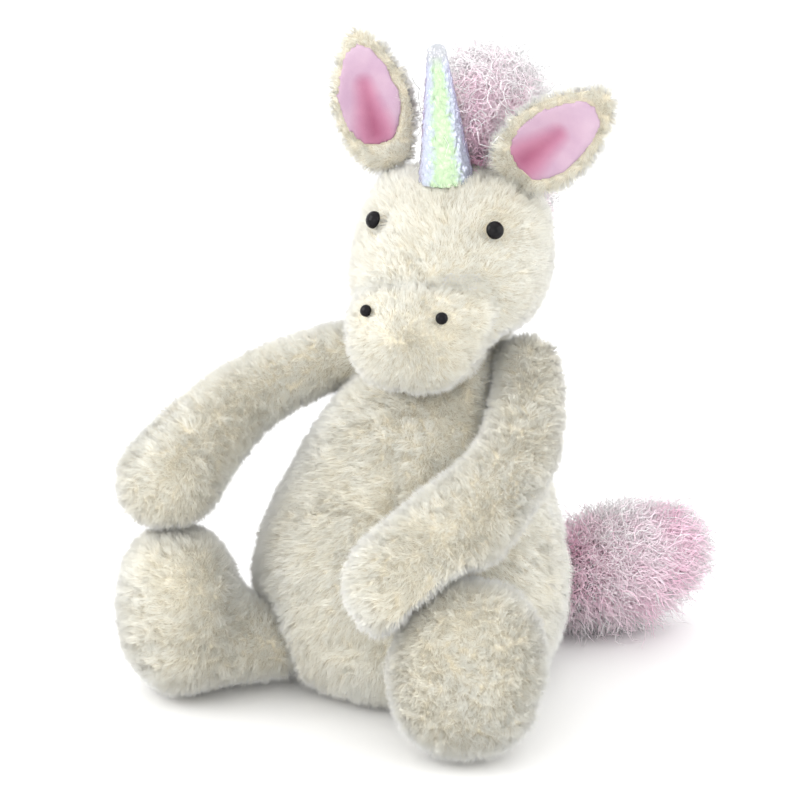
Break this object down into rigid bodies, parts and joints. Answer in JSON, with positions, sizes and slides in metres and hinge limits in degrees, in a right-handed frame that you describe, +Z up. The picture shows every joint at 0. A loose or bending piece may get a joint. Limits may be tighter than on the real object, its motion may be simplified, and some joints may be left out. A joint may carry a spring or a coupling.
{
  "type": "plush unicorn",
  "caption": "Seated soft toy unicorn with long floppy limbs, film horn, lined ears, curly mane and shaggy tail; head, ears, limbs and tail move at their seams.",
  "frame": {"origin": "on the surface that it sits on, under the middle of the torso", "axes": "+Z up, the toy faces -Y, +X is the toy's own left"},
  "size_m": [0.202, 0.2185, 0.2703],
  "materials": {
    "cream_pile": "long cream pile fabric",
    "fibre_filling": "polyester fibre filling",
    "pellet_bag": "woven bag of plastic pellets",
    "eye_bead": "glossy black safety bead",
    "washer": "moulded plastic washer",
    "horn_film": "crinkled iridescent film fabric",
    "pink_curls": "curly pink yarn pile",
    "pink_velour": "short pink velour",
    "pink_backing": "woven pink backing"
  },
  "bodies": {
    "torso": {"torso_cover": "cream_pile", "torso_stuffing": "fibre_filling", "seat_pellet_bag": "pellet_bag"},
    "neck": {"neck_stuffing": "fibre_filling"},
    "head": {"head_cover": "cream_pile", "head_stuffing": "fibre_filling", "left_eye": "eye_bead", "left_eye_washer": "washer", "left_nostril": "eye_bead", "left_nostril_washer": "washer", "right_eye": "eye_bead", "right_eye_washer": "washer", "right_nostril": "eye_bead", "right_nostril_washer": "washer", "horn_cover": "horn_film", "horn_stuffing": "fibre_filling", "mane_backing": "pink_backing", "mane_pile": "pink_curls"},
    "left_ear": {"left_ear_back": "cream_pile", "left_ear_lining": "pink_velour"},
    "right_ear": {"right_ear_back": "cream_pile", "right_ear_lining": "pink_velour"},
    "left_arm": {"left_arm_cover": "cream_pile", "left_arm_stuffing": "fibre_filling"},
    "right_arm": {"right_arm_cover": "cream_pile", "right_arm_stuffing": "fibre_filling"},
    "left_leg": {"left_leg_cover": "cream_pile", "left_leg_stuffing": "fibre_filling", "left_foot_pellet_bag": "pellet_bag"},
    "right_leg": {"right_leg_cover": "cream_pile", "right_leg_stuffing": "fibre_filling", "right_foot_pellet_bag": "pellet_bag"},
    "tail": {"tail_core": "pink_backing", "tail_pile": "pink_curls"}
  },
  "joints": [
    {"name": "head_turn", "type": "hinge", "parent": "torso", "child": "neck", "pos_m": [0.008, 0.028, 0.145], "axis": [0, 0, 1], "range_deg": [-18, 18]},
    {"name": "head_nod", "type": "hinge", "parent": "neck", "child": "head", "pos_m": [0.008, 0.028, 0.145], "axis": [-1, 0, 0], "range_deg": [0, 15]},
    {"name": "left_ear_fold", "type": "hinge", "parent": "head", "child": "left_ear", "pos_m": [0.038, 0.021, 0.221], "axis": [0.6, 0, -0.8], "range_deg": [-12, 12], "stiffness_Nm_per_rad": 0.01},
    {"name": "right_ear_fold", "type": "hinge", "parent": "head", "child": "right_ear", "pos_m": [-0.023, 0.022, 0.219], "axis": [1, 0, 0], "range_deg": [-12, 12], "stiffness_Nm_per_rad": 0.01},
    {"name": "left_arm_lift", "type": "hinge", "parent": "torso", "child": "left_arm", "pos_m": [0.044, 0.02, 0.136], "axis": [-0.8699, 0.15, 0.4699], "range_deg": [0, 50]},
    {"name": "right_arm_lift", "type": "hinge", "parent": "torso", "child": "right_arm", "pos_m": [-0.025, 0.018, 0.134], "axis": [-0.8486, 0.5291, 0], "range_deg": [0, 54]},
    {"name": "left_leg_spread", "type": "hinge", "parent": "torso", "child": "left_leg", "pos_m": [0.04, -0.042, 0.0185], "axis": [0, 0, 1], "range_deg": [0, 16]},
    {"name": "right_leg_spread", "type": "hinge", "parent": "torso", "child": "right_leg", "pos_m": [-0.044, -0.041, 0.0185], "axis": [0, 0, -1], "range_deg": [0, 16]},
    {"name": "tail_wag", "type": "hinge", "parent": "torso", "child": "tail", "pos_m": [0.025, 0.054, 0.028], "axis": [0, 0, 1], "range_deg": [-24, 10]}
  ]
}
